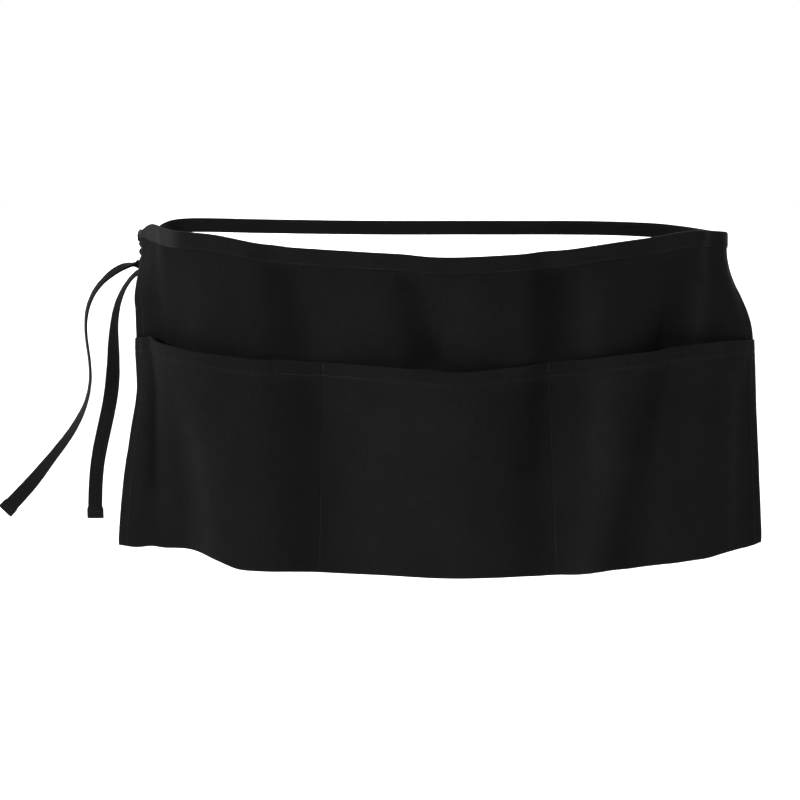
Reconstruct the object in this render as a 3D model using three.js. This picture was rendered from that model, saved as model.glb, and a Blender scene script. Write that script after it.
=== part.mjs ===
// Waist apron with three pockets, in the form it has when worn and tied at one corner.
// Millimetres, +Z up. The origin is the middle of the waist line: both ends of the waistband lie at
// Y = 0, the panel bows forward to -Y, and the tie runs round behind at +Y.
import * as THREE from 'three';

// Cloth
const CLOTH = 1.0;
const GAP = 0.3;
const EDGE_STEP = 2.5;

// Main panel, laid flat
const WAIST_WIDTH = 610;
const HEM_WIDTH = 624;
const PANEL_HEIGHT = 293;
const SIDE_HEM = 10;

// Pockets
const POCKET_TOP = 98;
const MOUTH_HEM = 13;
const POCKET_GAPE = 13;
const GAPE_ARCH = 1.2;
const GAPE_CLOSING = 1.6;

// Form of the worn panel
const WAIST_BOW = 116;
const WAIST_SAG = 10;
const FOLD_HEIGHT = 12;
const WAIST_HOLD = 2.0;
const WAIST_SHIFT = -3;
const HEM_SHIFT = -2;
const HOLLOW_REACH = 0.6;

// Waistband and ties: one tape, folded over the panel's edge and folded double beyond it
const TAPE_WIDTH = 13.5;
const LOOP_BACK = 95;
const OUTER_TAIL = 294;
const INNER_TAIL = 255;
const TAIL_FOLD = 9;
const FOLDED_THICKER = 1.5;

// Knot
const KNOT_STRAND = 4.6;
const KNOT_BACK = 22;
const KNOT_INWARD = 2;
const KNOT_TOP = -7;
const KNOT_TURNS = 1.5;
const KNOT_BLEND = 26;

// Steps of the faceted solids
const ACROSS_STEPS = 244;
const DOWN_STEPS = 60;
const POCKET_COLUMNS = 17;
const UPPER_ROWS = 5;
const POCKET_ROWS = 8;
const LOOP_STEPS = 44;
const LEAD_STEPS = 6;
const KNOT_STEPS = 24;
const TAIL_STEPS = 24;

const CLOTH_COLOUR = 0x1c1c1e;
const POCKET_COLOUR = 0x1e1e20;
const TAPE_COLOUR = 0x19191b;

// Sections of the panel from its left side to its right. at is a share of the width. waist, mouth and
// hem are how far it stands forward at those heights, as shares of WAIST_BOW. waistDrop, mouthDrop and
// hemDrop are how far it hangs lower there, as shares of WAIST_SAG.
const SECTIONS = [
  { at: 0.00, waist: 0.00, mouth: 0.00, hem: 0.02, waistDrop: 0.35, mouthDrop: 0.00, hemDrop: -0.10 },
  { at: 0.02, waist: 0.10, mouth: 0.05, hem: 0.04, waistDrop: -0.45, mouthDrop: -0.20, hemDrop: -0.05 },
  { at: 0.04, waist: 0.20, mouth: 0.10, hem: 0.06, waistDrop: -0.75, mouthDrop: -0.18, hemDrop: 0.00 },
  { at: 0.10, waist: 0.42, mouth: 0.32, hem: 0.12, waistDrop: -0.45, mouthDrop: -0.20, hemDrop: -0.10 },
  { at: 0.17, waist: 0.60, mouth: 0.54, hem: 0.36, waistDrop: -0.30, mouthDrop: 0.00, hemDrop: 0.00 },
  { at: 0.25, waist: 0.74, mouth: 0.68, hem: 0.54, waistDrop: 0.40, mouthDrop: 0.48, hemDrop: 0.60 },
  { at: 0.33, waist: 0.86, mouth: 0.76, hem: 0.60, waistDrop: 0.60, mouthDrop: 0.68, hemDrop: 0.65 },
  { at: 0.42, waist: 0.96, mouth: 0.84, hem: 0.64, waistDrop: 0.80, mouthDrop: 0.70, hemDrop: 0.80 },
  { at: 0.50, waist: 1.00, mouth: 0.88, hem: 0.66, waistDrop: 1.10, mouthDrop: 1.08, hemDrop: 1.05 },
  { at: 0.58, waist: 0.97, mouth: 0.86, hem: 0.67, waistDrop: 1.00, mouthDrop: 0.98, hemDrop: 0.95 },
  { at: 0.67, waist: 0.88, mouth: 0.78, hem: 0.65, waistDrop: 0.70, mouthDrop: 0.65, hemDrop: 0.70 },
  { at: 0.75, waist: 0.76, mouth: 0.67, hem: 0.60, waistDrop: 0.20, mouthDrop: 0.20, hemDrop: 0.40 },
  { at: 0.83, waist: 0.60, mouth: 0.50, hem: 0.48, waistDrop: -0.20, mouthDrop: -0.10, hemDrop: 0.25 },
  { at: 0.90, waist: 0.42, mouth: 0.35, hem: 0.36, waistDrop: -0.40, mouthDrop: -0.35, hemDrop: 0.05 },
  { at: 0.96, waist: 0.20, mouth: 0.22, hem: 0.20, waistDrop: -0.10, mouthDrop: -0.12, hemDrop: -0.30 },
  { at: 1.00, waist: 0.00, mouth: 0.08, hem: 0.08, waistDrop: 0.20, mouthDrop: 0.40, hemDrop: -0.20 },
];

// Upright folds of the whole panel. waistAt, mouthAt and hemAt place a fold across the width at those
// heights; waist, mouth, low and hem give its height as shares of FOLD_HEIGHT, low being halfway down
// the pockets. wide is its half width, as a share of the panel's width.
const FOLDS = [
  { waistAt: 0.05, mouthAt: 0.05, hemAt: 0.06, waist: 0, mouth: -0.6, low: -0.8, hem: -0.35, wide: 0.022 },
  { waistAt: 0.26, mouthAt: 0.27, hemAt: 0.27, waist: -0.4, mouth: -0.3, low: -0.2, hem: -0.1, wide: 0.022 },
  { waistAt: 0.65, mouthAt: 0.65, hemAt: 0.66, waist: -0.5, mouth: -0.3, low: -0.2, hem: -0.2, wide: 0.022 },
  { waistAt: 0.85, mouthAt: 0.84, hemAt: 0.80, waist: -0.3, mouth: -0.4, low: -0.5, hem: -0.3, wide: 0.025 },
  { waistAt: 0.915, mouthAt: 0.905, hemAt: 0.90, waist: 0.3, mouth: 0.4, low: 0.3, hem: 0.2, wide: 0.018 },
];

// Hollows where only the main panel sinks back, behind the pockets' mouths. Depths are shares of
// FOLD_HEIGHT; a hollow fades out below the mouth.
const HOLLOWS = [
  { waistAt: 0.450, mouthAt: 0.480, waist: 0.30, mouth: 0.55, wide: 0.024 },
  { waistAt: 0.110, mouthAt: 0.100, waist: 0.00, mouth: 0.30, wide: 0.035 },
  { waistAt: 0.800, mouthAt: 0.830, waist: 0.00, mouth: 0.25, wide: 0.035 },
];

// Pocket seams, as shares of the width at the mouth and at the hem, the panel's two sides included.
const SEAMS = [
  { mouth: 0.000, hem: 0.000 },
  { mouth: 0.336, hem: 0.329 },
  { mouth: 0.655, hem: 0.668 },
  { mouth: 1.000, hem: 1.000 },
];

// One row for each pocket: peak is where its mouth stands open most, as a share of the pocket's width,
// and gape is how far, as a share of POCKET_GAPE.
const POCKETS = [
  { peak: 0.40, gape: 1.00 },
  { peak: 0.42, gape: 0.85 },
  { peak: 0.60, gape: 1.00 },
];

// The tie's way round the back, from the right end of the waistband to the knot. out is a share of
// half the waist, back a share of LOOP_BACK, and lift a share of TAPE_WIDTH above the right end.
const LOOP = [
  { out: 0.985, back: 0.16, lift: 0.00 },
  { out: 0.945, back: 0.42, lift: -0.02 },
  { out: 0.885, back: 0.72, lift: -0.02 },
  { out: 0.780, back: 0.93, lift: 0.05 },
  { out: 0.560, back: 1.00, lift: 0.14 },
  { out: 0.200, back: 1.01, lift: 0.15 },
  { out: -0.200, back: 1.00, lift: 0.16 },
  { out: -0.600, back: 1.00, lift: 0.26 },
  { out: -0.840, back: 0.98, lift: 0.36 },
  { out: -0.920, back: 0.90, lift: 0.30 },
  { out: -0.955, back: 0.74, lift: 0.10 },
  { out: -0.968, back: 0.52, lift: -0.10 },
];

// The free ends. at is a share of the tail's length; lean is the angle from straight down towards the
// left, fore the angle towards the front, and roll the turn of the broad face away from the front.
const OUTER_ROUTE = [
  { at: 0.00, lean: 104, fore: 0, roll: 66 },
  { at: 0.05, lean: 84, fore: 4, roll: 68 },
  { at: 0.10, lean: 60, fore: 5, roll: 70 },
  { at: 0.16, lean: 44, fore: 4, roll: 76 },
  { at: 0.23, lean: 23, fore: 2, roll: 80 },
  { at: 0.30, lean: 4, fore: 0, roll: 82 },
  { at: 0.38, lean: -6, fore: -2, roll: 82 },
  { at: 0.45, lean: -1, fore: -3, roll: 82 },
  { at: 0.53, lean: 14, fore: -2, roll: 80 },
  { at: 0.62, lean: 29, fore: 0, roll: 66 },
  { at: 0.72, lean: 38, fore: 2, roll: 52 },
  { at: 0.82, lean: 39, fore: 3, roll: 36 },
  { at: 0.91, lean: 43, fore: 3, roll: 16 },
  { at: 1.00, lean: 44, fore: 2, roll: 2 },
];
const INNER_ROUTE = [
  { at: 0.00, lean: 72, fore: 0, roll: 75 },
  { at: 0.06, lean: 58, fore: 2, roll: 74 },
  { at: 0.12, lean: 36, fore: 4, roll: 72 },
  { at: 0.19, lean: 20, fore: 4, roll: 66 },
  { at: 0.28, lean: 6, fore: 2, roll: 52 },
  { at: 0.38, lean: 2, fore: 0, roll: 30 },
  { at: 0.48, lean: 6, fore: -2, roll: 12 },
  { at: 0.60, lean: 13, fore: -2, roll: 6 },
  { at: 0.72, lean: 13, fore: 0, roll: 8 },
  { at: 0.84, lean: 6, fore: 2, roll: 10 },
  { at: 1.00, lean: -1, fore: 2, roll: 4 },
];

const HALF_CLOTH = CLOTH / 2;
const HEM_FOLD = CLOTH + HALF_CLOTH + GAP / 2;
const BAND_INSIDE = HALF_CLOTH + GAP;
const BAND_RISE = GAP + CLOTH;
const TIE_THICKNESS = 2 * CLOTH;
const MOUTH_SHARE = POCKET_TOP / PANEL_HEIGHT;
const KNOT_RADIUS = 0.72 * KNOT_STRAND;
const KNOT_ARCH = 0.6 * KNOT_STRAND;
const KNOT_HEIGHT = 1.7 * KNOT_STRAND * 2 * KNOT_TURNS;
const DROPS = ['waistDrop', 'mouthDrop', 'hemDrop'];

const mix = THREE.MathUtils.lerp;
const clamp = THREE.MathUtils.clamp;
const smooth = (value, low, high) => THREE.MathUtils.smoothstep(value, low, high);

// How far down the pockets a height lies, from 0 at the mouth to 1 at the hem.
const fallen = (down) => clamp((down - MOUTH_SHARE) / (1 - MOUTH_SHARE), 0, 1);

// A smooth curve through one column of a table, read at a place between its rows.
function read(table, column, at) {
  const last = table.length - 1;
  const slope = (i) => {
    const a = table[Math.max(i - 1, 0)];
    const b = table[Math.min(i + 1, last)];
    return (b[column] - a[column]) / (b.at - a.at);
  };
  let i = 0;
  while (i < last - 1 && at > table[i + 1].at) i += 1;
  const [from, to] = [table[i], table[i + 1]];
  const span = to.at - from.at;
  const t = clamp((at - from.at) / span, 0, 1);
  const rest = 1 - t;
  return from[column] * (1 + 2 * t) * rest * rest + slope(i) * span * t * rest * rest
    + to[column] * t * t * (3 - 2 * t) - slope(i + 1) * span * t * t * rest;
}

// A value given at the waist, the mouth and the hem, read at a share of the panel's height.
const evenBetween = (down, waist, mouth, hem) => (down < MOUTH_SHARE
  ? mix(waist, mouth, down / MOUTH_SHARE) : mix(mouth, hem, fallen(down)));

// The same, but the upper part keeps the waist's form for a while before it takes the mouth's.
function between(down, waist, mouth, hem) {
  const eased = MOUTH_SHARE * smooth(down, 0, MOUTH_SHARE) ** WAIST_HOLD;
  return evenBetween(down < MOUTH_SHARE ? eased : down, waist, mouth, hem);
}

const bump = (distance, wide) => Math.exp(-((distance / wide) ** 2));

function forward(across, down) {
  const row = (column) => read(SECTIONS, column, across);
  let depth = WAIST_BOW * between(down, row('waist'), row('mouth'), row('hem'));
  for (const fold of FOLDS) {
    const place = between(down, fold.waistAt, fold.mouthAt, fold.hemAt);
    const bulge = 4 * fallen(down) * (1 - fallen(down)) * (fold.low - (fold.mouth + fold.hem) / 2);
    const height = between(down, fold.waist, fold.mouth, fold.hem) + bulge;
    depth += FOLD_HEIGHT * height * bump(across - place, fold.wide);
  }
  return depth;
}

// The middle of the panel's cloth as a fine grid of points. Each row keeps the cloth's width along its
// curve, and each column keeps the cloth's height as it hangs.
function layCloth() {
  const rows = [];
  for (let j = 0; j <= DOWN_STEPS; j += 1) {
    const down = j / DOWN_STEPS;
    const step = mix(WAIST_WIDTH, HEM_WIDTH, down) / ACROSS_STEPS;
    const row = [new THREE.Vector3(0, -forward(0, down), 0)];
    for (let i = 1; i <= ACROSS_STEPS; i += 1) {
      const y = -forward(i / ACROSS_STEPS, down);
      const run = Math.sqrt(Math.max(step * step - (y - row[i - 1].y) ** 2, (0.15 * step) ** 2));
      row.push(new THREE.Vector3(row[i - 1].x + run, y, 0));
    }
    const shift = mix(WAIST_SHIFT, HEM_SHIFT, down) - row[ACROSS_STEPS / 2].x;
    row.forEach((point) => { point.x += shift; });
    rows.push(row);
  }
  const fall = PANEL_HEIGHT / DOWN_STEPS;
  for (let i = 0; i <= ACROSS_STEPS; i += 1) {
    const drops = DROPS.map((column) => WAIST_SAG * read(SECTIONS, column, i / ACROSS_STEPS));
    const drop = (j) => evenBetween(j / DOWN_STEPS, ...drops);
    rows[0][i].z = -drop(0) - BAND_RISE;
    for (let j = 1; j <= DOWN_STEPS; j += 1) {
      const lean = Math.hypot(rows[j][i].x - rows[j - 1][i].x, rows[j][i].y - rows[j - 1][i].y);
      const hang = Math.sqrt(Math.max(fall * fall - lean * lean, (0.3 * fall) ** 2));
      rows[j][i].z = rows[j - 1][i].z - hang - (drop(j) - drop(j - 1));
    }
  }
  return rows;
}

const cloth = layCloth();

function gridPoint(across, down) {
  const u = clamp(across, 0, 1) * ACROSS_STEPS;
  const v = clamp(down, 0, 1) * DOWN_STEPS;
  const i = Math.min(Math.floor(u), ACROSS_STEPS - 1);
  const j = Math.min(Math.floor(v), DOWN_STEPS - 1);
  const upper = cloth[j][i].clone().lerp(cloth[j][i + 1], u - i);
  const lower = cloth[j + 1][i].clone().lerp(cloth[j + 1][i + 1], u - i);
  return upper.lerp(lower, v - j);
}

// A point of the cloth with its directions: along runs to the right, fall down the cloth, out forward.
function clothAt(across, down) {
  const du = 1.5 / ACROSS_STEPS;
  const dv = 1.5 / DOWN_STEPS;
  const u = clamp(across, du, 1 - du);
  const v = clamp(down, dv, 1 - dv);
  const along = gridPoint(u + du, down).sub(gridPoint(u - du, down)).normalize();
  const fall = gridPoint(across, v + dv).sub(gridPoint(across, v - dv)).normalize();
  const out = fall.clone().cross(along).normalize();
  return { point: gridPoint(across, down), along, fall, out };
}

// A point set off from the cloth: forward by out, and up past its edge by rise.
function offset(place, out, rise = 0) {
  return place.point.clone().addScaledVector(place.out, out).addScaledVector(place.fall, -rise);
}

function bodyAt(across, down) {
  const place = clothAt(across, down);
  let sink = 0;
  for (const hollow of HOLLOWS) {
    const at = between(down, hollow.waistAt, hollow.mouthAt, hollow.mouthAt);
    const fade = 1 - smooth(fallen(down), 0, HOLLOW_REACH);
    const depth = fade * between(down, hollow.waist, hollow.mouth, hollow.mouth);
    sink += FOLD_HEIGHT * depth * bump(across - at, hollow.wide);
  }
  place.point.addScaledVector(place.out, -sink);
  return place;
}

const evenly = (count) => Array.from({ length: count + 1 }, (_, i) => i / count);

// Columns across the panel, the same for every piece: an even number in each pocket, and close ones
// where the side hems end. t is a share of the pocket's width.
function columns() {
  const hem = SIDE_HEM / WAIST_WIDTH / SEAMS[1].mouth;
  const step = (SIDE_HEM + EDGE_STEP) / WAIST_WIDTH / SEAMS[1].mouth;
  const list = [];
  POCKETS.forEach((_, number) => {
    const first = number === 0;
    const last = number === POCKETS.length - 1;
    const shares = evenly(POCKET_COLUMNS).map((t) => mix(first ? step : 0, last ? 1 - step : 1, t));
    if (first) list.push({ number, t: 0, inHem: true }, { number, t: hem, inHem: true });
    shares.slice(first ? 0 : 1).forEach((t) => list.push({ number, t, inHem: false }));
    if (last) list.push({ number, t: 1 - hem, inHem: true }, { number, t: 1, inHem: true });
  });
  return list;
}

const COLUMNS = columns();

function acrossOf({ number, t }, down) {
  const [left, right] = [SEAMS[number], SEAMS[number + 1]];
  return mix(mix(left.mouth, right.mouth, t), mix(left.hem, right.hem, t), fallen(down));
}

// The side hems are turned to the back, so the cloth is double there.
const backOf = (column) => -HALF_CLOTH - (column.inHem ? CLOTH : 0);

// Heights of the points down the pockets, with close ones where the mouth's hem ends.
function pocketDowns() {
  const hemEnd = MOUTH_SHARE + MOUTH_HEM / PANEL_HEIGHT;
  const hemStep = hemEnd + EDGE_STEP / PANEL_HEIGHT;
  const foldTop = 1 - HEM_FOLD / PANEL_HEIGHT;
  return [MOUTH_SHARE, hemEnd, ...evenly(POCKET_ROWS).map((t) => mix(hemStep, foldTop, t))];
}

// One closed solid through a row of rings. A ring runs down one side and back up the other, and a
// strip of faces between the two sides closes each end. Faces are split along diagonals that all fall
// the same way, so that walls which lie close together bend alike.
function loft(rings) {
  const count = rings[0].length;
  const index = [];
  const at = (i, j) => i * count + (j % count);
  for (let i = 0; i < rings.length - 1; i += 1) {
    for (let j = 0; j < count; j += 1) {
      const [a, b, c, d] = [at(i, j), at(i, j + 1), at(i + 1, j + 1), at(i + 1, j)];
      const falls = rings[i][j].z >= rings[i][(j + 1) % count].z;
      index.push(...(falls ? [a, b, c, a, c, d] : [b, c, d, b, d, a]));
    }
  }
  const end = rings.length - 1;
  for (let j = 0; j < count / 2 - 1; j += 1) {
    const [a, b, c, d] = [j, j + 1, count - 2 - j, count - 1 - j];
    index.push(at(0, a), at(0, d), at(0, c), at(0, a), at(0, c), at(0, b));
    index.push(at(end, a), at(end, b), at(end, c), at(end, a), at(end, c), at(end, d));
  }
  const geometry = new THREE.BufferGeometry().setFromPoints(rings.flat());
  geometry.setIndex(index);
  geometry.computeVertexNormals();
  return geometry;
}

function bodyPanel() {
  const band = TAPE_WIDTH / PANEL_HEIGHT;
  const bottom = 1 - (HEM_FOLD + GAP) / PANEL_HEIGHT;
  const upper = evenly(UPPER_ROWS).map((t) => mix(band, MOUTH_SHARE, t)).slice(0, -1);
  const downs = [0, ...upper, ...pocketDowns().slice(0, -1), bottom];
  return loft(COLUMNS.map((column) => {
    const places = downs.map((down) => bodyAt(acrossOf(column, down), down));
    const front = places.map((place) => offset(place, HALF_CLOTH));
    const back = places.map((place) => offset(place, backOf(column)));
    return [...front, ...back.reverse()];
  }));
}

// How far the pocket's cloth stands off the panel, at a share of one pocket's width and height.
function gape(pocket, t, share) {
  const skew = Math.log(0.5) / Math.log(pocket.peak);
  const arch = Math.max(Math.sin(Math.PI * t ** skew), 0) ** GAPE_ARCH;
  return POCKET_GAPE * pocket.gape * arch * (1 - share) ** GAPE_CLOSING;
}

// The pocket cloth hangs from the mouth, where its hem is double, and folds back under the panel's
// lower edge.
function pocketPanel() {
  const inside = HALF_CLOTH + GAP;
  const hemEnd = MOUTH_SHARE + MOUTH_HEM / PANEL_HEIGHT;
  const middle = (inside + CLOTH - HALF_CLOTH) / 2;
  const inner = CLOTH + GAP / 4;
  const turn = [
    { front: [mix(inside + CLOTH, middle, 0.3), 0.3 * HEM_FOLD], back: [mix(inside, middle, 0.3), inner] },
    { front: [middle, 0], back: [middle, CLOTH] },
    { front: [mix(-HALF_CLOTH, middle, 0.3), 0.3 * HEM_FOLD], back: [mix(HALF_CLOTH, middle, 0.3), inner] },
    { front: [-HALF_CLOTH, HEM_FOLD], back: [HALF_CLOTH, HEM_FOLD] },
  ];
  return loft(COLUMNS.map((column) => {
    const front = [];
    const back = [];
    for (const down of pocketDowns()) {
      const place = clothAt(acrossOf(column, down), down);
      const clear = inside + gape(POCKETS[column.number], column.t, fallen(down));
      front.push(offset(place, clear + (down <= hemEnd ? 2 : 1) * CLOTH));
      back.push(offset(place, clear));
    }
    const edge = clothAt(acrossOf(column, 1), 1);
    turn.forEach((row) => front.push(offset(edge, ...row.front)));
    turn.forEach((row) => back.push(offset(edge, ...row.back)));
    return [...front, ...back.reverse()];
  }));
}

// The binding is folded over the panel's upper edge, at an even distance in front and behind.
function waistband() {
  const low = TAPE_WIDTH / PANEL_HEIGHT;
  return loft(COLUMNS.map((column) => {
    const across = acrossOf(column, 0);
    const [edge, lower] = [bodyAt(across, 0), bodyAt(across, low)];
    const wall = (grow, rise) => {
      const [ahead, behind] = [BAND_INSIDE + grow, backOf(column) - GAP - grow];
      return [
        offset(lower, ahead), offset(edge, ahead), offset(edge, ahead * 0.5, rise),
        offset(edge, behind * 0.5, rise), offset(edge, behind), offset(lower, behind),
      ];
    };
    const outside = wall(CLOTH, BAND_RISE);
    const inside = wall(0, GAP);
    return [...outside.reverse(), ...inside];
  }));
}

// Where a tie starts, just beyond one end of the waistband, with the band's own directions there.
function bandEnd(across) {
  const place = clothAt(across, TAPE_WIDTH / 2 / PANEL_HEIGHT);
  const away = place.along.clone().multiplyScalar(across > 0.5 ? 1 : -1);
  const front = place.out.clone().multiplyScalar(across > 0.5 ? 1 : -1);
  const point = place.point.clone().addScaledVector(away, GAP);
  return { point, away, up: place.fall.clone().negate(), front };
}

const rightEnd = bandEnd(1);
const leftEnd = bandEnd(0);
const knotAxis = new THREE.Vector2(leftEnd.point.x + KNOT_INWARD, leftEnd.point.y + KNOT_BACK);

// A strand's way down the knot, from its first angle, and the direction it leaves in.
function knotPoints(firstAngle) {
  return evenly(KNOT_STEPS).map((t) => {
    const angle = firstAngle - 2 * Math.PI * KNOT_TURNS * t;
    const [x, y] = [Math.cos(angle), Math.sin(angle)];
    return new THREE.Vector3(knotAxis.x + KNOT_RADIUS * x, knotAxis.y + KNOT_RADIUS * y,
      KNOT_TOP - KNOT_HEIGHT * t);
  });
}

// A tail of exact length: its direction is read from the route and summed up in even steps.
function tailPoints(start, startDirection, route, length) {
  const points = [start];
  const parts = 8;
  const step = length / (TAIL_STEPS * parts);
  const here = start.clone();
  for (let i = 0; i < TAIL_STEPS * parts; i += 1) {
    const at = (i + 0.5) / (TAIL_STEPS * parts);
    const lean = THREE.MathUtils.degToRad(read(route, 'lean', at));
    const fore = THREE.MathUtils.degToRad(read(route, 'fore', at));
    const hang = new THREE.Vector3(-Math.sin(lean), -Math.sin(fore), -Math.cos(lean) * Math.cos(fore));
    const turned = smooth(at * length, 0, KNOT_BLEND / 2);
    const direction = startDirection.clone().lerp(hang.normalize(), turned).normalize();
    here.addScaledVector(direction, step);
    if ((i + 1) % parts === 0) points.push(here.clone());
  }
  return points;
}

const directionAt = (points, i) => points[Math.min(i + 1, points.length - 1)].clone()
  .sub(points[Math.max(i - 1, 0)]).normalize();

// Upright directions carried along a path without twisting, from the first one.
function carry(points, firstUp) {
  const ups = [];
  let up = firstUp.clone();
  points.forEach((_, i) => {
    const direction = directionAt(points, i);
    up = up.clone().addScaledVector(direction, -up.dot(direction)).normalize();
    ups.push(up);
  });
  return ups;
}

// A flat tape along lead, knot and tail. It is bunched up in the knot, opens out again in the tail,
// turns its broad face as the route says, and is thicker where its end is folded back.
function tie(lead, end, knot, route, length) {
  const knotStart = lead.length - 1;
  const leaving = directionAt(knot, knot.length - 1);
  const tail = tailPoints(knot[knot.length - 1], leaving, route, length);
  const points = [...lead, ...knot.slice(1), ...tail.slice(1)];
  const knotEnd = knotStart + knot.length - 1;
  const ups = carry(points, end.up);
  const side = new THREE.Vector3(1, 0, 0);
  const turnTo = (i) => {
    const direction = directionAt(points, i);
    const at = (i - knotEnd) / TAIL_STEPS;
    const wanted = side.clone().addScaledVector(direction, -side.dot(direction)).normalize()
      .applyAxisAngle(direction, THREE.MathUtils.degToRad(read(route, 'roll', at)));
    const cross = ups[i].clone().cross(wanted).dot(direction);
    return Math.atan2(cross, ups[i].dot(wanted));
  };
  const turns = points.map(() => 0);
  for (let i = knotEnd; i < points.length; i += 1) {
    const turn = turnTo(i);
    const near = i === knotEnd ? 0 : turns[i - 1];
    turns[i] = turn - Math.PI * Math.round((turn - near) / Math.PI);
  }
  for (let i = knotStart; i < knotEnd; i += 1) {
    turns[i] = turns[knotEnd] * smooth(i, knotStart, knotEnd);
  }
  const runs = [0];
  points.slice(1).forEach((point, i) => runs.push(runs[i] + point.distanceTo(points[i])));
  const last = points.length - 1;
  return loft(points.map((point, i) => {
    const before = smooth(runs[knotStart] - runs[i], 0, KNOT_BLEND);
    const after = smooth(runs[i] - runs[knotEnd], 0, KNOT_BLEND);
    const open = i < knotStart ? before : i > knotEnd ? after : 0;
    const folded = runs[last] - runs[i] < TAIL_FOLD ? FOLDED_THICKER : 1;
    const direction = directionAt(points, i);
    const up = i === 0 ? end.up : ups[i].clone().applyAxisAngle(direction, turns[i]);
    const front = i === 0 ? end.front : direction.clone().cross(up);
    const wide = mix(KNOT_STRAND, TAPE_WIDTH, open) / 2;
    const thick = mix(KNOT_STRAND * 0.92, TIE_THICKNESS, open) / 2 * folded;
    const [flat, edge] = [mix(0.45, 0.94, open), mix(0.45, 0.6, open)];
    const corner = (a, b) => point.clone().addScaledVector(up, a * wide).addScaledVector(front, b * thick);
    return [
      corner(1, edge), corner(flat, 1), corner(-flat, 1), corner(-1, edge),
      corner(-1, -edge), corner(-flat, -1), corner(flat, -1), corner(1, -edge),
    ];
  }));
}

function tieRight() {
  const half = (rightEnd.point.x - leftEnd.point.x) / 2;
  const middle = (rightEnd.point.x + leftEnd.point.x) / 2;
  const knot = knotPoints(0);
  const way = LOOP.map((row) => new THREE.Vector3(middle + half * row.out, LOOP_BACK * row.back,
    rightEnd.point.z + TAPE_WIDTH * row.lift));
  const start = rightEnd.point;
  const lead = start.clone().addScaledVector(rightEnd.away, 2 * GAP);
  const enter = knot[0].clone().add(new THREE.Vector3(0, KNOT_STRAND, KNOT_ARCH));
  const curve = new THREE.CatmullRomCurve3([start, lead, ...way, enter, knot[0]], false, 'centripetal');
  return tie(curve.getSpacedPoints(LOOP_STEPS), rightEnd, knot, OUTER_ROUTE, OUTER_TAIL);
}

function tieLeft() {
  const knot = knotPoints(Math.PI);
  const start = leftEnd.point;
  const lead = start.clone().addScaledVector(leftEnd.away, 2 * GAP);
  const enter = knot[0].clone().add(new THREE.Vector3(0, -KNOT_STRAND, KNOT_ARCH));
  const curve = new THREE.CatmullRomCurve3([start, lead, enter, knot[0]], false, 'centripetal');
  return tie(curve.getSpacedPoints(LEAD_STEPS), leftEnd, knot, INNER_ROUTE, INNER_TAIL);
}

function piece(name, geometry, color) {
  const material = new THREE.MeshStandardMaterial({ color, roughness: 0.92, metalness: 0 });
  const mesh = new THREE.Mesh(geometry, material);
  mesh.name = name;
  return mesh;
}

const apron = new THREE.Group();
apron.add(piece('body_panel', bodyPanel(), CLOTH_COLOUR));
apron.add(piece('pocket_panel', pocketPanel(), POCKET_COLOUR));
apron.add(piece('waistband', waistband(), TAPE_COLOUR));
apron.add(piece('tie_right', tieRight(), TAPE_COLOUR));
apron.add(piece('tie_left', tieLeft(), TAPE_COLOUR));

export default apron;
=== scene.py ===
import math

import bpy
import numpy as np
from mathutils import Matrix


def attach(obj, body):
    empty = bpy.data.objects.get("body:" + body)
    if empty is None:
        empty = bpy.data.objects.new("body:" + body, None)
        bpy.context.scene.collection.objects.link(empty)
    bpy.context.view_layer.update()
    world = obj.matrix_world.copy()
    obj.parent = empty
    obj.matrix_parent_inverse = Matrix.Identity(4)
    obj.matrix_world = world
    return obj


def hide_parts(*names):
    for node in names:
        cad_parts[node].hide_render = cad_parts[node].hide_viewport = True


# Waist apron with three pockets, in the form it has when worn: two sheets of black cloth, a bound
# waist edge, two ties knotted at the left corner, and the stitches that hold them.
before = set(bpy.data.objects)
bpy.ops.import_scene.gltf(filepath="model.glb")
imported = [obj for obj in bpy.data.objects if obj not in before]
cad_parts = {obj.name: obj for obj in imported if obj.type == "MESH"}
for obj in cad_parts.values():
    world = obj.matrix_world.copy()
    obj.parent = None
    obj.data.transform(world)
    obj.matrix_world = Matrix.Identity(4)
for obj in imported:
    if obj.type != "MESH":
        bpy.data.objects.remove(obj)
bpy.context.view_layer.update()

MM = 0.001


def placed(name, data):
    """A new object in the scene."""
    thing = bpy.data.objects.new(name, data)
    bpy.context.scene.collection.objects.link(thing)
    return thing


# Camera at the photograph's angle, a little above the waist line and well in front, in millimetres
# and degrees below level.
CAMERA_PLACE, CAMERA_TILT = (-36.8, -1790.1, 188.2), 10.87
camera_data = bpy.data.cameras.new("camera")
camera_data.sensor_width = 36
camera_data.lens = 90
camera = placed("camera", camera_data)
camera.location = [place * MM for place in CAMERA_PLACE]
camera.rotation_euler = (math.radians(90 - CAMERA_TILT), 0, 0)
bpy.context.scene.camera = camera

# Sizes in millimetres, as in the part's source. The cloth is thinner here than the solids' walls.
CLOTH = 0.8
HALF = CLOTH / 2
WAIST_WIDTH, HEM_WIDTH, PANEL_HEIGHT = 610, 624, 293
SIDE_HEM = 10
POCKET_TOP, MOUTH_HEM, POCKET_GAPE = 98, 13, 13
GAPE_ARCH, GAPE_CLOSING = 1.2, 1.6
WAIST_BOW, WAIST_SAG, FOLD_HEIGHT, WAIST_HOLD = 116, 10, 12, 2.0
WAIST_SHIFT, HEM_SHIFT = -3, -2
HOLLOW_REACH = 0.6
BAND_RISE = 1.3
TAPE_WIDTH, TAPE_THICKNESS = 13.5, 1.7
LOOP_BACK, OUTER_TAIL, INNER_TAIL, TAIL_FOLD = 95, 294, 255, 9
KNOT_STRAND, KNOT_BACK, KNOT_INWARD, KNOT_TOP, KNOT_TURNS, KNOT_BLEND = 4.6, 22, 2, -7, 1.5, 26
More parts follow.
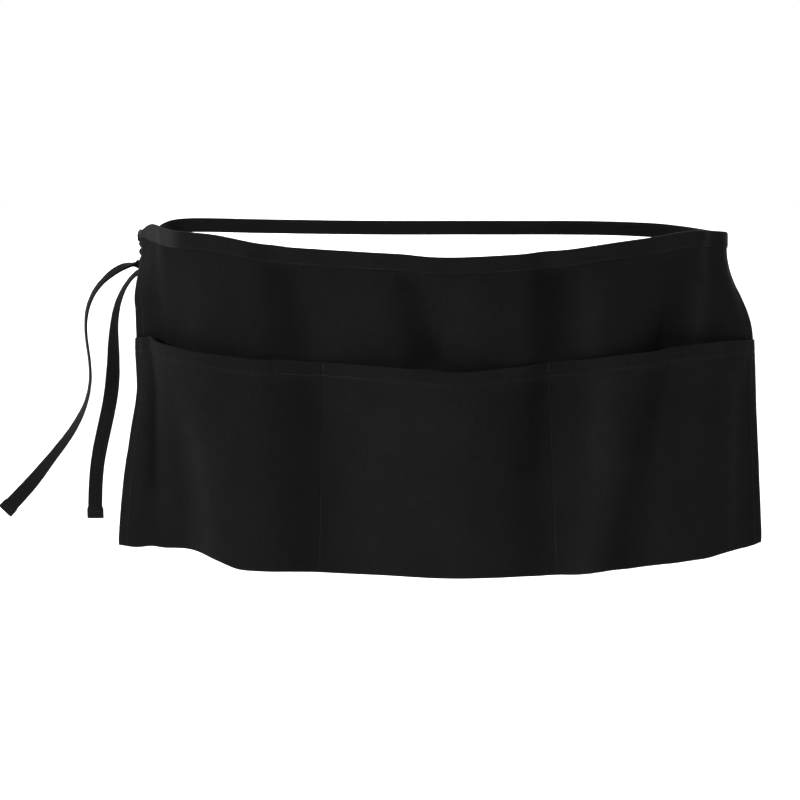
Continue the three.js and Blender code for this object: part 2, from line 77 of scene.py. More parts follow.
MOUTH_SHARE = POCKET_TOP / PANEL_HEIGHT
CORNER_PULLED, CORNER_OUT, CORNER_GATHER = 24, 2.5, 9
LOWER_TURN = 1.7

# Stitches: their pitch, how far inside a hem's turned edge they lie, and how far off the cloth.
STITCH_PITCH, SEAM_PITCH = 3.1, 2.9
STITCH_INSET, STITCH_RISE = 1.4, 0.12
SIDE_LINE = SIDE_HEM - STITCH_INSET
BAND_STITCH = TAPE_WIDTH - 1.3

# The ties: how far inside the edge their sewn line lies, its groove, the extra thickness of their
# folded ends, and the length of the first steps away from the panel's end.
TAPE_INSET, TAPE_GROOVE, FOLD_EXTRA, END_STEP = 2.0, 0.28, 0.55, 0.6

# Cells of the cloth's grid, the meshes' step in millimetres, and points round a tie.
ACROSS_CELLS, DOWN_CELLS = 488, 120
GRID_STEP = 2.6
TIE_POINTS = 28


def table(columns, *rows):
    """Rows of numbers under named columns."""
    return {name: np.array(values, float) for name, values in zip(columns.split(), zip(*rows))}


# How far the panel stands forward, and how far it hangs lower, across its width.
SECTIONS = table(
    "at waist mouth hem waist_drop mouth_drop hem_drop",
    (0.00, 0.00, 0.00, 0.02, 0.35, 0.00, -0.10),
    (0.02, 0.10, 0.05, 0.04, -0.45, -0.20, -0.05),
    (0.04, 0.20, 0.10, 0.06, -0.75, -0.18, 0.00),
    (0.10, 0.42, 0.32, 0.12, -0.45, -0.20, -0.10),
    (0.17, 0.60, 0.54, 0.36, -0.30, 0.00, 0.00),
    (0.25, 0.74, 0.68, 0.54, 0.40, 0.48, 0.60),
    (0.33, 0.86, 0.76, 0.60, 0.60, 0.68, 0.65),
    (0.42, 0.96, 0.84, 0.64, 0.80, 0.70, 0.80),
    (0.50, 1.00, 0.88, 0.66, 1.10, 1.08, 1.05),
    (0.58, 0.97, 0.86, 0.67, 1.00, 0.98, 0.95),
    (0.67, 0.88, 0.78, 0.65, 0.70, 0.65, 0.70),
    (0.75, 0.76, 0.67, 0.60, 0.20, 0.20, 0.40),
    (0.83, 0.60, 0.50, 0.48, -0.20, -0.10, 0.25),
    (0.90, 0.42, 0.35, 0.36, -0.40, -0.35, 0.05),
    (0.96, 0.20, 0.22, 0.20, -0.10, -0.12, -0.30),
    (1.00, 0.00, 0.08, 0.08, 0.20, 0.40, -0.20),
)

# Upright folds of the whole panel.
FOLDS = table(
    "waist_at mouth_at hem_at waist mouth low hem wide",
    (0.05, 0.05, 0.06, 0.0, -0.6, -0.8, -0.35, 0.022),
    (0.26, 0.27, 0.27, -0.4, -0.3, -0.2, -0.1, 0.022),
    (0.65, 0.65, 0.66, -0.5, -0.3, -0.2, -0.2, 0.022),
    (0.85, 0.84, 0.80, -0.3, -0.4, -0.5, -0.3, 0.025),
    (0.915, 0.905, 0.90, 0.3, 0.4, 0.3, 0.2, 0.018),
)

# Hollows where the main panel and its binding sink back, behind the pockets' mouths.
HOLLOWS = table(
    "waist_at mouth_at waist mouth wide",
    (0.450, 0.480, 0.30, 0.55, 0.024),
    (0.110, 0.100, 0.00, 0.30, 0.035),
    (0.800, 0.830, 0.00, 0.25, 0.035),
)

# Pocket seams across the width, and how each pocket's mouth stands open.
SEAMS = table("mouth hem", (0.000, 0.000), (0.336, 0.329), (0.655, 0.668), (1.000, 1.000))
INNER_SEAMS = SEAMS["mouth"][1:3]
POCKETS = table("peak gape", (0.40, 1.00), (0.42, 0.85), (0.60, 1.00))

# Soft folds that both sheets share, from one place to another: across and down are shares of the panel,
# height and wide are millimetres, and fade is light and shade painted into the cloth's colour along the
# fold: painted shade in its hollow where it is below 0, a painted highlight on its ridge where above 0.
SOFT_FOLDS = table(
    "across_from down_from across_to down_to height wide fade",
    (0.036, 0.10, 0.036, 0.34, 0.6, 11, 0.06),
    (0.150, 0.08, 0.140, 0.34, 1.0, 26, 0.14),
    (0.270, 0.01, 0.292, 0.32, -3.2, 17, -0.50),
    (0.400, 0.10, 0.410, 0.36, 1.2, 24, 0.12),
    (0.452, 0.06, 0.490, 0.34, -2.2, 11, -0.40),
    (0.535, 0.05, 0.535, 0.36, 1.6, 20, 0.20),
    (0.662, 0.00, 0.660, 0.35, -3.6, 18, -0.54),
    (0.722, 0.05, 0.722, 0.36, 1.8, 14, 0.22),
    (0.860, 0.06, 0.850, 0.34, -0.6, 28, -0.36),
    (0.935, 0.00, 0.895, 0.32, 0.8, 11, 0.34),
    (0.905, 0.14, 0.885, 0.33, 0.0, 11, 0.34),
    (0.014, 0.36, 0.014, 0.98, 0.4, 7, 0.16),
    (0.046, 0.40, 0.052, 0.82, -2.2, 7, -0.50),
    (0.110, 0.36, 0.145, 0.58, 1.4, 15, 0.10),
    (0.145, 0.58, 0.172, 1.05, 2.6, 12, 0.34),
    (0.306, 0.34, 0.308, 1.05, -2.8, 26, -0.38),
    (0.445, 0.36, 0.445, 1.05, 2.0, 42, 0.22),
    (0.520, 0.42, 0.530, 1.05, 1.2, 22, 0.10),
    (0.642, 0.36, 0.622, 0.70, -3.4, 21, -0.48),
    (0.622, 0.70, 0.634, 1.05, -2.4, 19, -0.34),
    (0.732, 0.37, 0.730, 0.68, 3.6, 14, 0.54),
    (0.730, 0.68, 0.700, 1.05, 2.6, 14, 0.42),
    (0.812, 0.38, 0.784, 0.66, -2.0, 15, -0.44),
    (0.784, 0.66, 0.748, 1.05, -2.2, 12, -0.36),
    (0.890, 0.40, 0.870, 0.68, 1.2, 13, 0.10),
    (0.870, 0.68, 0.795, 1.05, 1.8, 15, 0.12),
    (0.915, 0.42, 0.922, 1.05, -1.0, 12, -0.14),
    (0.957, 0.42, 0.945, 1.05, 0.8, 4, 0.30),
    (0.990, 0.42, 0.990, 1.05, 0.0, 12, -0.30),
)

# Places where the cloth is drawn to the right or hangs lower than its sections say: across and down
# are shares of the panel, the rest millimetres.
TOUCHES = table(
    "across down wide high right lift",
    (0.000, 0.50, 24, 30, 4.0, 0.0),
    (0.050, 1.00, 15, 40, 0.0, -2.0),
    (0.204, 1.00, 20, 60, 0.0, -4.5),
)

# The tie's way round the back.
LOOP = table(
    "out back lift",
    (0.985, 0.16, 0.00),
    (0.945, 0.42, -0.02),
    (0.885, 0.72, -0.02),
    (0.780, 0.93, 0.05),
    (0.560, 1.00, 0.14),
    (0.200, 1.01, 0.15),
    (-0.200, 1.00, 0.16),
    (-0.600, 1.00, 0.26),
    (-0.840, 0.98, 0.36),
    (-0.920, 0.90, 0.30),
    (-0.955, 0.74, 0.10),
    (-0.968, 0.52, -0.10),
)

# The free ends: lean from straight down towards the left, fore towards the front, roll of the face, and fade,
# the light and shade painted into the tape's colour along it.
OUTER_ROUTE = table(
    "at lean fore roll fade",
    (0.00, 104, 0, 52, -0.3),
    (0.05, 84, 4, 54, -0.5),
    (0.10, 60, 5, 60, -0.5),
    (0.16, 44, 4, 68, -0.4),
    (0.23, 23, 2, 72, -0.4),
    (0.30, 4, 0, 74, -0.4),
    (0.38, -6, -2, 73, -0.4),
    (0.45, -1, -3, 75, -0.2),
    (0.53, 14, -2, 76, 0.3),
    (0.62, 29, 0, 66, 1.0),
    (0.72, 38, 2, 52, 0.7),
    (0.82, 39, 3, 36, 0.2),
    (0.91, 43, 3, 16, 0.1),
    (1.00, 44, 2, 2, 0.2),
)
INNER_ROUTE = table(
    "at lean fore roll fade",
    (0.00, 72, 0, 75, 0.5),
    (0.06, 58, 2, 74, 0.8),
    (0.12, 36, 4, 72, 0.4),
    (0.19, 20, 4, 66, 0.0),
    (0.28, 6, 2, 52, -0.2),
    (0.38, 2, 0, 30, -0.4),
    (0.48, 6, -2, 12, -0.4),
    (0.60, 13, -2, 6, 0.1),
    (0.72, 13, 0, 8, 0.1),
    (0.84, 6, 2, 10, -0.1),
    (1.00, -1, 2, 4, 0.1),
)


# ---- cloth as a surface ----


def mix(a, b, t):
    return a + (b - a) * t


def smooth(value, low, high):
    t = np.clip((value - low) / (high - low), 0, 1)
    return t * t * (3 - 2 * t)


def unit(vectors):
    return vectors / np.maximum(np.linalg.norm(vectors, axis=-1, keepdims=True), 1e-9)


def fallen(down):
    return np.clip((down - MOUTH_SHARE) / (1 - MOUTH_SHARE), 0, 1)


def read(rows, column, at):
    """A smooth curve through one column, read at places between the rows."""
    xs, ys = rows["at"], rows[column]
    slopes = np.gradient(ys)
    slopes[1:-1] = (ys[2:] - ys[:-2]) / (xs[2:] - xs[:-2])
    slopes[0] = (ys[1] - ys[0]) / (xs[1] - xs[0])
    slopes[-1] = (ys[-1] - ys[-2]) / (xs[-1] - xs[-2])
    at = np.clip(at, xs[0], xs[-1])
    i = np.clip(np.searchsorted(xs, at, side="right") - 1, 0, len(xs) - 2)
    span = xs[i + 1] - xs[i]
    t = (at - xs[i]) / span
    rest = 1 - t
    ends = ys[i] * (1 + 2 * t) * rest**2 + ys[i + 1] * t * t * (3 - 2 * t)
    return ends + slopes[i] * span * t * rest**2 - slopes[i + 1] * span * t * t * rest


def even_between(down, waist, mouth, hem):
    return np.where(down < MOUTH_SHARE, mix(waist, mouth, down / MOUTH_SHARE), mix(mouth, hem, fallen(down)))


def between(down, waist, mouth, hem):
    eased = MOUTH_SHARE * smooth(down, 0, MOUTH_SHARE) ** WAIST_HOLD
    return even_between(np.where(down < MOUTH_SHARE, eased, down), waist, mouth, hem)


def bump(distance, wide):
    return np.exp(-((distance / wide) ** 2))


def forward(across, down):
    depth = WAIST_BOW * between(down, *(read(SECTIONS, name, across) for name in ("waist", "mouth", "hem")))
    for waist_at, mouth_at, hem_at, waist, mouth, low, hem, wide in zip(*FOLDS.values()):
        place = between(down, waist_at, mouth_at, hem_at)
        belly = 4 * fallen(down) * (1 - fallen(down)) * (low - (mouth + hem) / 2)
        height = between(down, waist, mouth, hem) + belly
        depth = depth + FOLD_HEIGHT * height * bump(across - place, wide)
    return depth


def soft_folds(across, down, column):
    """The heights of the shared soft folds, or the light and shade painted into the cloth's colour along
    them, at places on the panel.
    """
    x, y = across * WAIST_WIDTH, down * PANEL_HEIGHT
    total = 0.0
    for a, b, c, d, height, wide, fade in zip(*SOFT_FOLDS.values()):
        reach = np.array([(c - a) * WAIST_WIDTH, (d - b) * PANEL_HEIGHT])
        length = np.linalg.norm(reach)
        way = reach / length
        aside = (x - a * WAIST_WIDTH) * way[1] - (y - b * PANEL_HEIGHT) * way[0]
        t = ((x - a * WAIST_WIDTH) * way[0] + (y - b * PANEL_HEIGHT) * way[1]) / length
        value = {"height": height, "fade": fade}[column]
        total = total + value * bump(aside, wide) * smooth(t, -0.12, 0.14) * (1 - smooth(t, 0.86, 1.12))
    return total * smooth(down, 0.02, 0.08)


def eased_side(grid, start, end, sideways, forwards, low, high):
    """A steep fold near a side edge, opened towards the straight line between two columns."""
    columns = np.arange(round(start * (grid.shape[1] - 1)), round(end * (grid.shape[1] - 1)) + 1)
    down = np.linspace(0, 1, len(grid))[:, None, None]
    t = np.linspace(0, 1, len(columns))[:, None]
    ends = smooth(t, 0, 0.2) * (1 - smooth(t, 0.6, 1))
    strength = ends * np.array([sideways, forwards, 0]) * smooth(down, low, high)
    chord = mix(grid[:, columns[:1]], grid[:, columns[-1:]], t)
    grid[:, columns] = mix(grid[:, columns], chord, strength)
    return grid


def knotted_corner(grid, across, down):
    """The upper left corner, drawn outwards and gathered in height by the knot."""
    near = 1 - smooth(across * WAIST_WIDTH, 0, CORNER_PULLED)
    below = down * PANEL_HEIGHT
    out = near * (1 - smooth(below, 6, 30)) * CORNER_OUT
    up = near * smooth(below, 0, TAPE_WIDTH) * (1 - smooth(below, TAPE_WIDTH, 60)) * CORNER_GATHER
    return grid + np.stack([-out, 0 * out, up], axis=-1)


def lay_cloth():
    """The middle of the panel's cloth as a fine grid, with the cloth's own width and height kept."""
    across = np.linspace(0, 1, ACROSS_CELLS + 1)[None, :]
    down = np.linspace(0, 1, DOWN_CELLS + 1)[:, None]
    y = -forward(across, down)
    step = mix(WAIST_WIDTH, HEM_WIDTH, down) / ACROSS_CELLS
    run = np.sqrt(np.maximum(step**2 - np.diff(y, axis=1) ** 2, (0.15 * step) ** 2))
    x = np.concatenate([np.zeros_like(down), np.cumsum(run, axis=1)], axis=1)
    x += mix(WAIST_SHIFT, HEM_SHIFT, down) - x[:, ACROSS_CELLS // 2][:, None]
    fall = PANEL_HEIGHT / DOWN_CELLS
    lean = np.hypot(np.diff(x, axis=0), np.diff(y, axis=0))
    hang = np.sqrt(np.maximum(fall**2 - lean**2, (0.3 * fall) ** 2))
    drops = [WAIST_SAG * read(SECTIONS, name, across) for name in ("waist_drop", "mouth_drop", "hem_drop")]
    drop = even_between(down, *drops)
    z = -drop - BAND_RISE
    z[1:] -= np.cumsum(hang, axis=0)
    for at, low, wide, high, right, lift in zip(*TOUCHES.values()):
        near = bump((across - at) * WAIST_WIDTH, wide) * bump((down - low) * PANEL_HEIGHT, high)
        x, z = x + near * right, z + near * lift
    grid = np.stack([x, y - soft_folds(across, down, "height"), z], axis=-1)
    grid = eased_side(grid, 0, 0.085, 0.95, 0.3, 0.25, 0.08)
    grid = eased_side(grid, 0, 0.125, 0.9, 0.5, 0.1, 0.3)
    grid = eased_side(grid, 0.83, 1, 0.7, 0.7, -0.2, 0.1)
    return knotted_corner(grid, across, down)


CLOTH_GRID = lay_cloth()


def grid_point(across, down):
    u = np.clip(across, 0, 1) * ACROSS_CELLS
    v = np.clip(down, 0, 1) * DOWN_CELLS
    i = np.minimum(np.floor(u).astype(int), ACROSS_CELLS - 1)
    j = np.minimum(np.floor(v).astype(int), DOWN_CELLS - 1)
    s, t = (u - i)[..., None], (v - j)[..., None]
    upper = mix(CLOTH_GRID[j, i], CLOTH_GRID[j, i + 1], s)
    lower = mix(CLOTH_GRID[j + 1, i], CLOTH_GRID[j + 1, i + 1], s)
    return mix(upper, lower, t)


def cloth_at(across, down):
    """Points of the cloth, with the directions along its width, down it and out in front."""
    across, down = np.broadcast_arrays(np.asarray(across, float), np.asarray(down, float))
    du, dv = 3 / ACROSS_CELLS, 3 / DOWN_CELLS
    u, v = np.clip(across, du, 1 - du), np.clip(down, dv, 1 - dv)
    along = unit(grid_point(u + du, down) - grid_point(u - du, down))
    fall = unit(grid_point(across, v + dv) - grid_point(across, v - dv))
    return grid_point(across, down), along, fall, unit(np.cross(fall, along))


def across_of(share, down):
    """The place across the panel of a column that keeps its share between two pocket seams."""
    return mix(share, np.interp(share, SEAMS["mouth"], SEAMS["hem"]), fallen(down))


def sunk(across, down):
    """How far the main panel sinks back in its hollows."""
    total = 0
    fade = 1 - smooth(fallen(down), 0, HOLLOW_REACH)
    for at, mouth_at, waist, mouth, wide in zip(*HOLLOWS.values()):
        place = between(down, at, mouth_at, mouth_at)
        total = total + FOLD_HEIGHT * fade * between(down, waist, mouth, mouth) * bump(across - place, wide)
    return total


def gape(share, down):
    """How far the pocket's cloth stands off the main panel."""
    number = np.clip(np.searchsorted(SEAMS["mouth"], share, side="right") - 1, 0, 2)
    left, right = SEAMS["mouth"][number], SEAMS["mouth"][number + 1]
    t = np.clip((share - left) / (right - left), 0, 1)
    skew = np.log(0.5) / np.log(POCKETS["peak"][number])
    arch = np.maximum(np.sin(np.pi * t**skew), 0) ** GAPE_ARCH
    return POCKET_GAPE * POCKETS["gape"][number] * arch * (1 - fallen(down)) ** GAPE_CLOSING


# ---- small relief of the cloth ----


def soft_noise(x, y, seed):
    """Smooth noise from -1 to 1 with cells one unit wide."""
    cells = 128
    lattice = np.random.default_rng(seed).uniform(-1, 1, (cells, cells))
    i, j = np.floor(x).astype(int), np.floor(y).astype(int)
    u, v = x - i, y - j
    u, v = u * u * (3 - 2 * u), v * v * (3 - 2 * v)
    left, right = i % cells, (i + 1) % cells
    near, far = (mix(lattice[left, k % cells], lattice[right, k % cells], u) for k in (j, j + 1))
    return mix(near, far, v)


def wrinkles(sheet, across, down):
    """Slack cloth and fine crumples of one sheet, in millimetres."""
    x, y = across * WAIST_WIDTH, down * PANEL_HEIGHT
    slant = x + 0.10 * y
    total = 0.40 * soft_noise(slant / 31, y / 120, 3 + sheet)
    total = total + 0.24 * soft_noise(slant / 13, y / 55, 13 + sheet)
    total = total + 0.10 * soft_noise(x / 6.5, y / 9, 23 + sheet)
    return total + 0.05 * soft_noise(x / 3.1, y / 3.6, 33 + sheet)


def pucker(aside, along, seed, depth=0.35):
    """A sewn line: a groove under the thread, and the small gathers on both sides of it."""
    gather = soft_noise(along / 4.6, 0 * along + 7.5, seed) * 0.34 * bump(np.abs(aside) - 2.4, 3.2)
    return gather - depth * bump(aside, 0.75)


def steps(length, step, close=()):
    """Places along a length, with finer ones at the sewn lines."""
    places = np.linspace(0, length, round(length / step) + 1)
    for mark in close:
        places = places[np.abs(places - mark) > 2.4]
        places = np.concatenate([places, mark + np.array([-2.2, -1.5, -0.9, -0.45, 0, 0.45, 0.9, 1.5, 2.2])])
    return np.unique(np.clip(places, 0, length).round(4))


LEFT_LINES = np.array([SIDE_LINE, SIDE_HEM])
SEWN_PLACES = (*LEFT_LINES, *(WAIST_WIDTH - LEFT_LINES[::-1]), *(INNER_SEAMS * WAIST_WIDTH))
COLUMNS = steps(WAIST_WIDTH, GRID_STEP, SEWN_PLACES) / WAIST_WIDTH


def side_distance(across):
    return np.minimum(across, 1 - across) * WAIST_WIDTH


def side_pucker(across, down):
    return pucker(side_distance(across) - SIDE_LINE, down * PANEL_HEIGHT, 41, 0.25)


def side_wear(across, edge):
    """Wear along a side: its edge, and the ridge beside its sewn line."""
    aside = side_distance(across)
    return edge * bump(aside, 1.5) + 0.3 * bump(aside - SIDE_LINE, 1.6)


def over_fold(down):
    """1 on the pockets' cloth, falling to 0 where it is folded round the lower edge."""
    return 1 - smooth(down * PANEL_HEIGHT, PANEL_HEIGHT - 7, PANEL_HEIGHT)


def sewn_relief(share, across, down):
    """Relief of the pocket's cloth, which is held flat along its seams and at the lower edge."""
    x, y = across * WAIST_WIDTH, down * PANEL_HEIGHT
    below = y - POCKET_TOP
    relief = wrinkles(1, across, down) * (0.35 + 0.65 * smooth(below, 0, 30))
    for seam in INNER_SEAMS:
        aside = (share - seam) * WAIST_WIDTH
        relief = relief * (1 - 0.7 * bump(aside, 6)) + pucker(aside, y, 51 + round(seam * 10), 0.45)
    relief = relief + pucker(below - MOUTH_HEM + STITCH_INSET, x, 61) + side_pucker(across, down)
    return relief * over_fold(down)


def hem_relief(across, down):
    """How the pocket's cloth is rounded where its hems are folded."""
    edges = ((down * PANEL_HEIGHT - POCKET_TOP, MOUTH_HEM), (side_distance(across), SIDE_HEM))
    mouth, side = (smooth(inside, hem + 1.2, hem - 0.4) for inside, hem in edges)
    return 0.75 * CLOTH * np.maximum(mouth, side) * over_fold(down)


def body_relief(share, across, down):
    """Relief of the main panel, which is the pocket cloth's own where the two lie together."""
    y = down * PANEL_HEIGHT
    together = smooth(y, POCKET_TOP - 6, POCKET_TOP) * (1 - smooth(gape(share, down), 0.3, 2.5))
    own = wrinkles(0, across, down) * smooth(y, TAPE_WIDTH, 35)
    own = own + side_pucker(across, down) * smooth(y, TAPE_WIDTH - 1, TAPE_WIDTH + 1)
    return mix(own, sewn_relief(share, across, down), together)


# ---- meshes ----

made = {}


def mesh_piece(name, points, faces, uv=None, worn=None, painted_shading=None):
    """A new object from points in millimetres, shaded smooth, with its cloth's flat places as UVs."""
    mesh = bpy.data.meshes.new(name)
    mesh.from_pydata((np.asarray(points) * MM).tolist(), [], faces)
    mesh.update()
    mesh.shade_smooth()
    if uv is not None:
        corners = np.empty(len(mesh.loops), int)
        mesh.loops.foreach_get("vertex_index", corners)
        layer = mesh.uv_layers.new(name="flat")
        layer.data.foreach_set("uv", (np.asarray(uv)[corners] * MM).ravel())
    # Per point: the cloth's wear, and the light and shade painted into its colour.
    for title, values in (("worn", worn), ("painted_shading", painted_shading)):
        if values is not None:
            attribute = mesh.attributes.new(title, "FLOAT", "POINT")
            attribute.data.foreach_set("value", np.asarray(values, dtype=float))
    made[name] = placed(name, mesh)
    return made[name]


def slab(name, front, back, uv, worn, painted_shading):
    """A closed sheet between two grids of points, with rounded rims."""
    rows, columns = front.shape[:2]
    count = rows * columns
    index = np.arange(count).reshape(rows, columns)
    quads = np.stack([index[:-1, :-1], index[1:, :-1], index[1:, 1:], index[:-1, 1:]], -1).reshape(-1, 4)
    behind = quads[:, ::-1] + count
    border = np.concatenate([index[:, 0], index[-1, 1:], index[-2::-1, -1], index[0, -2:0:-1]])
    i, j = np.divmod(border, columns)
    inner = front[np.clip(i, 1, rows - 2), np.clip(j, 1, columns - 2)]
    middle = (front[i, j] + back[i, j]) / 2
    thick = np.linalg.norm(front[i, j] - back[i, j], axis=-1, keepdims=True)
    rim = middle + unit(front[i, j] - inner) * thick * 0.3
    a, b = border, np.roll(border, -1)
    ra = 2 * count + np.arange(len(border))
    rb = np.roll(ra, -1)
    edges = np.concatenate([np.stack([b, a, ra, rb], -1), np.stack([rb, ra, a + count, b + count], -1)])
    points = np.concatenate([front.reshape(-1, 3), back.reshape(-1, 3), rim])
    flat = uv.reshape(-1, 2)
    # Wear, paler at the rims, and light and shade painted into the colour, at half strength on the back
    # sheet.
    wear, pale = worn.reshape(-1), painted_shading.reshape(-1)
    return mesh_piece(
        name, points, np.concatenate([quads, behind, edges]).tolist(),
        np.concatenate([flat, flat, flat[border]]), np.concatenate([wear, wear, wear[border] + 0.5]),
        np.concatenate([pale, pale * 0.5, pale[border]]),
    )


def loft(name, rings, uv, worn, painted_shading, strips=False):
    """A closed solid through rings of points, each running the same way round."""
    count, size = rings.shape[:2]
    index = np.arange(count * size).reshape(count, size)
    ahead = np.roll(index, -1, axis=1)
    faces = np.stack([index[:-1], ahead[:-1], ahead[1:], index[1:]], -1).reshape(-1, 4).tolist()
    first, last = index[0].tolist(), index[-1].tolist()
    if strips:
        for j in range(size // 2 - 1):
            corners = (j, j + 1, size - 2 - j, size - 1 - j)
            faces += [[first[k] for k in reversed(corners)], [last[k] for k in corners]]
    else:
        faces += [first[::-1], last]
    # With wear, and with light and shade painted into the colour, at each point.
    return mesh_piece(
        name, rings.reshape(-1, 3), faces, uv.reshape(-1, 2), worn.reshape(-1), painted_shading.reshape(-1)
    )


def flat_places(across, down):
    return np.stack([across * WAIST_WIDTH, (1 - down) * PANEL_HEIGHT], -1)


# ---- main panel ----


def body_surface(share, down):
    across = across_of(share, down)
    point, _, _, out = cloth_at(across, down)
    lift = body_relief(share, across, down) - sunk(across, down)
    return across, point + out * lift[..., None], out


body_downs = steps(PANEL_HEIGHT - LOWER_TURN - 0.7, GRID_STEP, (POCKET_TOP,))[:, None] / PANEL_HEIGHT
across, middle, out = body_surface(COLUMNS[None, :], body_downs)
folded = smooth(side_distance(across), SIDE_HEM + 0.9, SIDE_HEM + 0.2)
body_panel = slab(
    "panel",
    middle + out * HALF,
    middle - out * (HALF + CLOTH * folded)[..., None],
    flat_places(across, np.broadcast_to(body_downs, across.shape)),
    side_wear(across, 0.55),
    # Light and shade painted into the colour along the soft folds.
    soft_folds(across, body_downs, "fade"),
)


# ---- pocket panel ----


def pocket_surface(share, down):
    """The pockets' cloth: where it lies, and how far off the middle of the main cloth its two sides are."""
    across = across_of(share, down)
    point, _, fall, out = cloth_at(across, down)
    inside = HALF + 0.25 + gape(share, down) + sewn_relief(share, across, down)
    return across, point, fall, out, inside, inside + CLOTH + hem_relief(across, down)


pocket_downs = steps(PANEL_HEIGHT - POCKET_TOP, GRID_STEP, (MOUTH_HEM - STITCH_INSET, MOUTH_HEM))
pocket_downs = (POCKET_TOP + pocket_downs)[:, None] / PANEL_HEIGHT
across, point, fall, out, inside, outside = pocket_surface(COLUMNS[None, :], pocket_downs)
front = point + out * outside[..., None]
back = point + out * inside[..., None]

# The fold round the lower edge, from the front of the pockets' cloth to the back of the main cloth.
centre, radius = (outside[-1] - HALF) / 2, (outside[-1] + HALF) / 2


def lower_turn(angle, radius, start, rise):
    off = centre + radius * np.cos(angle)
    return point[-1] + out[-1] * off[:, None] + fall[-1] * LOWER_TURN * (rise * np.sin(angle) - start)


angles = np.radians([25, 55, 90, 125, 155])
turn_front = [lower_turn(angle, radius, 0.62, 0.62) for angle in angles]
turn_back = [lower_turn(angle, radius - CLOTH, 0.75, 0.3) for angle in angles]
last_point, _, _, last_out = cloth_at(across[-1], 1 - LOWER_TURN / PANEL_HEIGHT)
front = np.concatenate([front[:-1], turn_front, [last_point - last_out * HALF]])
back = np.concatenate([back[:-1], turn_back, [last_point + last_out * HALF]])
extra = len(angles)
downs = np.broadcast_to(pocket_downs, across.shape)
uv = flat_places(across, downs)
uv = np.concatenate([uv] + [uv[-1:] - [0, 0.8 * (k + 1)] for k in range(extra)])
below = downs * PANEL_HEIGHT - POCKET_TOP
wear = 0.6 * bump(below, 1.4) + 0.35 * bump(below - MOUTH_HEM + 1.2, 1.8)
wear = wear + 0.5 * bump(PANEL_HEIGHT - POCKET_TOP - below, 2.0) + side_wear(across, 0.5)
wear = np.concatenate([wear] + [wear[-1:] + 0.2] * extra)
# Light and shade painted into the colour along the soft folds, carried on round the fold at the lower edge.
painted_shading = soft_folds(across, downs, "fade")
painted_shading = np.concatenate([painted_shading] + [painted_shading[-1:]] * extra)
pocket_panel = slab("pockets", front, back, uv, wear, painted_shading)


# ---- waistband ----

BAND_OFF = HALF + 0.22
BAND_ROWS = (TAPE_WIDTH, 13.1, 12.7, 12.2, 11.7, 11.0, 9.0, 6.5, 4.0, 2.0, 0.6)
FRONT_SEED, BACK_SEED = 71, 81


def band_point(across, below, off):
    """A point on the binding: below the cloth's edge, and off the middle of the cloth."""
    down = np.maximum(below, 0) / PANEL_HEIGHT
    point, _, fall, out = cloth_at(across, down)
    off = np.broadcast_to(off, across.shape) - sunk(across, down)
    return point + out * off[..., None] - fall * np.maximum(-below, 0)[..., None]


def band_ripple(across, below, seed):
    x = across * WAIST_WIDTH
    soft = 0.22 * soft_noise(x / 17, below / 30 + 3.3, seed) + 0.10 * soft_noise(x / 5.5, below / 6, seed + 1)
    return soft + pucker(below - BAND_STITCH, x, seed + 2, 0.4) * smooth(below, 0, 3)


def behind_hem(across):
    """How far the binding's back stands off the middle of the cloth, over the turned side hems too."""
    return BAND_OFF + CLOTH * smooth(side_distance(across), SIDE_HEM + 4, SIDE_HEM + 1.2)


def band_side(across, side, off, seed):
    """Outer and inner rows of the binding on one side of the panel, from its lower edge upwards."""
    rows = []
    for below in BAND_ROWS:
        level = np.full_like(across, below)
        round_edge = 0.35 * smooth(below, TAPE_WIDTH - 0.5, TAPE_WIDTH)
        outer = off + CLOTH - round_edge + band_ripple(across, level, seed)
        rows.append([band_point(across, level, side * place) for place in (outer, off - 0.05)])
    return rows


def band_top(across, behind, angle):
    """An outer and an inner row of the binding's fold over the panel's top edge."""
    off = mix(-behind - CLOTH, BAND_OFF + CLOTH, (math.cos(angle) + 1) / 2)
    rise = np.full_like(across, -BAND_RISE * math.sin(angle))
    return [band_point(across, rise, off), band_point(across, rise * 0.55, off * 0.74)]


across = steps(WAIST_WIDTH, 2.2) / WAIST_WIDTH
behind = behind_hem(across)
outer_rows, inner_rows = zip(
    *band_side(across, 1, BAND_OFF, FRONT_SEED),
    *(band_top(across, behind, angle) for angle in np.radians([30, 60, 90, 120, 150])),
    *band_side(across, -1, behind, BACK_SEED)[::-1],
)
rings = np.stack(outer_rows[::-1] + inner_rows, axis=1)
size = rings.shape[1]
run = np.concatenate([np.linspace(0, 32, size // 2), np.linspace(32, 0, size // 2)])
band_uv = np.stack(np.broadcast_arrays(across[:, None] * WAIST_WIDTH, run[None, :] + 400), -1)
edge = np.where(np.abs(np.arange(size) - size // 4) < 3, 0.4, 0.1)
edge[[0, size // 2 - 1]] = 0.5
# Light painted into the binding's colour: a strong painted highlight on its left end, painted shade in a fold
# near 0.27 of the width and on its right end.
painted_shading = 2.3 * (1 - smooth(across, 0.09, 0.12)) - 0.12 * bump(across - 0.27, 0.03)
painted_shading = painted_shading - 0.2 * smooth(across, 0.88, 0.95)
waistband = loft(
    "waistband_tape", rings, band_uv, np.broadcast_to(edge, rings.shape[:2]),
    np.broadcast_to(painted_shading[:, None], rings.shape[:2]), strips=True,
)


# ---- ties and knot ----


def band_end(share):
    """Where a tie leaves the binding: the place, and its ways outwards, up and out in front."""
    values = cloth_at(np.array([share]), np.array([TAPE_WIDTH / 2 / PANEL_HEIGHT]))
    point, along, fall, out = (value[0] for value in values)
    sign = 1 if share > 0.5 else -1
    return point + along * sign * END_STEP, along * sign, -fall, out * sign


